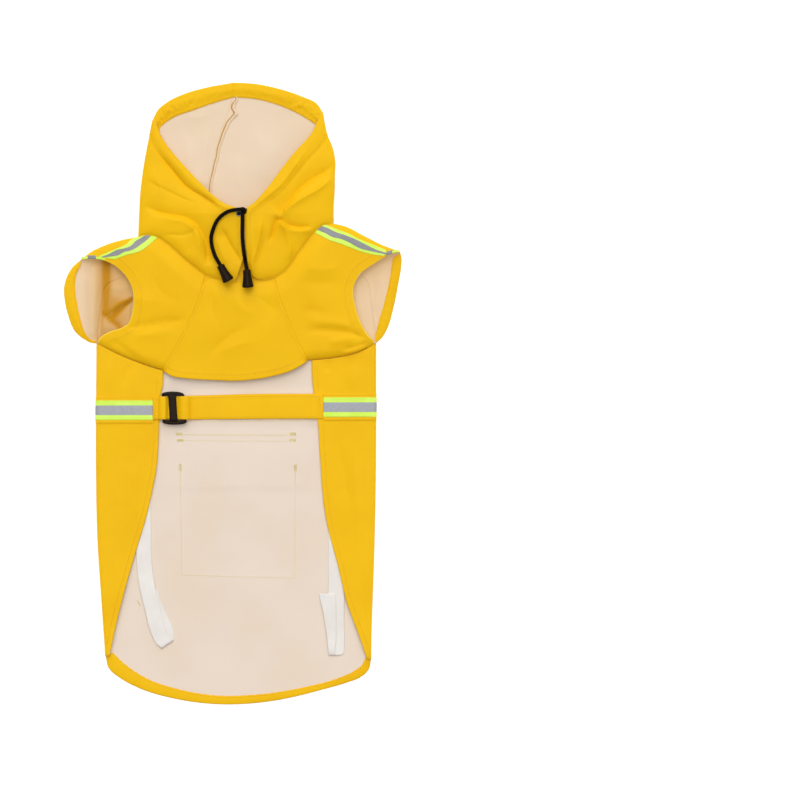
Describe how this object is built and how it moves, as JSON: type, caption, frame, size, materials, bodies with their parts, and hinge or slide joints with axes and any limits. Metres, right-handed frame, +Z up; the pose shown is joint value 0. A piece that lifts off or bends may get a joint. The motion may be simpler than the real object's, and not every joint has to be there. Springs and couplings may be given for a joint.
{
  "type": "dog raincoat",
  "caption": "Hooded dog raincoat laid flat on its back, belly side up: hood, cap sleeves, side flaps, belly strap with slide, reflective tapes, leg loops, back pocket.",
  "frame": {"origin": "middle of the footprint, on the surface that the coat lies on", "axes": "+Y towards the hood, +Z up from the surface, +X to the right as seen from above"},
  "size_m": [0.3502, 0.646, 0.0237],
  "materials": {
    "coated_cloth": "yellow coated woven polyester, cream reverse",
    "reflective_tape": "silver reflective stripe on lime green tape",
    "elastic": "white knitted elastic",
    "black_plastic": "moulded black plastic",
    "cord": "black braided cord",
    "eyelet_metal": "dark plated metal"
  },
  "bodies": {
    "root": {"back_panel": "coated_cloth", "chest_bib": "coated_cloth", "shoulder_left": "coated_cloth", "shoulder_right": "coated_cloth", "hood_left": "coated_cloth", "hood_right": "coated_cloth", "hood_hem_left": "coated_cloth", "hood_hem_right": "coated_cloth", "cuff_hem_left": "coated_cloth", "cuff_hem_right": "coated_cloth", "tail_hem": "coated_cloth", "pocket": "coated_cloth", "pocket_flap": "coated_cloth", "belt": "coated_cloth", "tape_body": "reflective_tape", "tape_shoulder_left": "reflective_tape", "tape_shoulder_right": "reflective_tape", "leg_loop_left": "elastic", "leg_loop_right": "elastic", "triglide": "black_plastic", "cord_stop_left": "black_plastic", "cord_stop_right": "black_plastic", "drawcord_left": "cord", "drawcord_right": "cord", "cord_eyelet": "eyelet_metal"}
  },
  "joints": []
}
